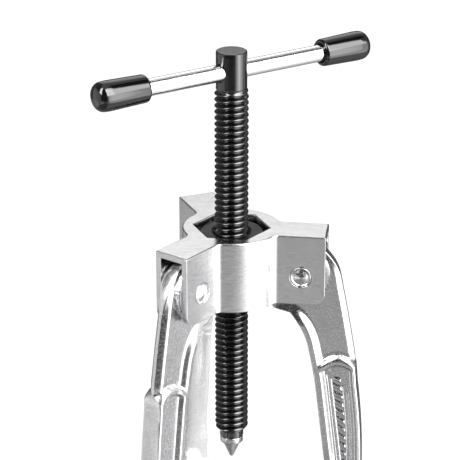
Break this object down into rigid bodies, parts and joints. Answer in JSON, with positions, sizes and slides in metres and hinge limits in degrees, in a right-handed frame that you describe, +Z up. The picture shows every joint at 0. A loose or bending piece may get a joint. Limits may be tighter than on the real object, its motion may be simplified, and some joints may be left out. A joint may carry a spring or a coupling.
{
  "type": "gear puller",
  "caption": "Self-gripping puller: arms pivot in a winged yoke and are linked by a floating nut; a screw spindle with a sliding tommy bar presses on the shaft end.",
  "frame": {"origin": "on the spindle axis, at the shoulder of the thrust tip where its cone starts", "axes": "+Z up the spindle to the head, +X along arm a, arms b and c at 120 and 240 degrees"},
  "size_m": [0.1213, 0.1164, 0.2512],
  "materials": {
    "yoke_steel": "bright zinc plate, brushed along the top and the bulged sides",
    "forged_steel": "satin plated forging with a fine grain",
    "nut_steel": "dark phosphated steel",
    "black_oxide": "oiled black oxide",
    "tip_steel": "ground hardened steel",
    "ball_steel": "polished bearing steel",
    "bar_steel": "polished bright bar",
    "cap_plastic": "glossy black moulded plastic",
    "pin_steel": "bright peened steel",
    "spring_steel": "rolled spring steel"
  },
  "bodies": {
    "yoke": {"yoke": "yoke_steel", "pivot_pin_a": "pin_steel", "friction_washer_a1": "spring_steel", "friction_washer_a2": "spring_steel", "pivot_pin_b": "pin_steel", "friction_washer_b1": "spring_steel", "friction_washer_b2": "spring_steel", "pivot_pin_c": "pin_steel", "friction_washer_c1": "spring_steel", "friction_washer_c2": "spring_steel"},
    "nut": {"threaded_nut": "nut_steel"},
    "tip": {"thrust_tip": "tip_steel", "thrust_ball": "ball_steel", "tip_retaining_ring": "spring_steel"},
    "spindle": {"spindle": "black_oxide"},
    "handle": {"tommy_bar": "bar_steel", "bar_cap_1": "cap_plastic", "bar_cap_2": "cap_plastic"},
    "arm_a": {"arm_a": "forged_steel"},
    "arm_b": {"arm_b": "forged_steel"},
    "arm_c": {"arm_c": "forged_steel"}
  },
  "joints": [
    {"name": "arm_a_swing", "type": "hinge", "parent": "yoke", "child": "arm_a", "pos_m": [0.0339, 0, 0.0924], "axis": [0, 1, 0], "range_deg": [-16, 12.5]},
    {"name": "arm_b_swing", "type": "hinge", "parent": "yoke", "child": "arm_b", "pos_m": [-0.01695, 0.02936, 0.0924], "axis": [-0.866, -0.5, 0], "range_deg": [-16, 12.5]},
    {"name": "arm_c_swing", "type": "hinge", "parent": "yoke", "child": "arm_c", "pos_m": [-0.01695, -0.02936, 0.0924], "axis": [0.866, -0.5, 0], "range_deg": [-16, 12.5]},
    {"name": "nut_slide", "type": "slide", "parent": "yoke", "child": "nut", "axis": [0, 0, 1], "range_m": [-0.00545, 0.00426]},
    {"name": "spindle_feed", "type": "slide", "parent": "nut", "child": "tip", "axis": [0, 0, 1], "range_m": [-0.0601, 0.0661]},
    {"name": "spindle_turn", "type": "hinge", "parent": "tip", "child": "spindle", "pos_m": [0, 0, 0], "axis": [0, 0, 1], "range_deg": [-7200, 7920]},
    {"name": "handle_slide", "type": "slide", "parent": "spindle", "child": "handle", "axis": [0.7559, 0.6547, 0], "range_m": [-0.039, 0.0354]}
  ],
  "couplings": [
    {"joint": "arm_b_swing", "follows": "arm_a_swing", "ratio": 1},
    {"joint": "arm_c_swing", "follows": "arm_a_swing", "ratio": 1},
    {"joint": "nut_slide", "follows": "arm_a_swing", "m_per_rad": 0.0194},
    {"joint": "spindle_feed", "follows": "spindle_turn", "m_per_rad": 0.00047746}
  ]
}
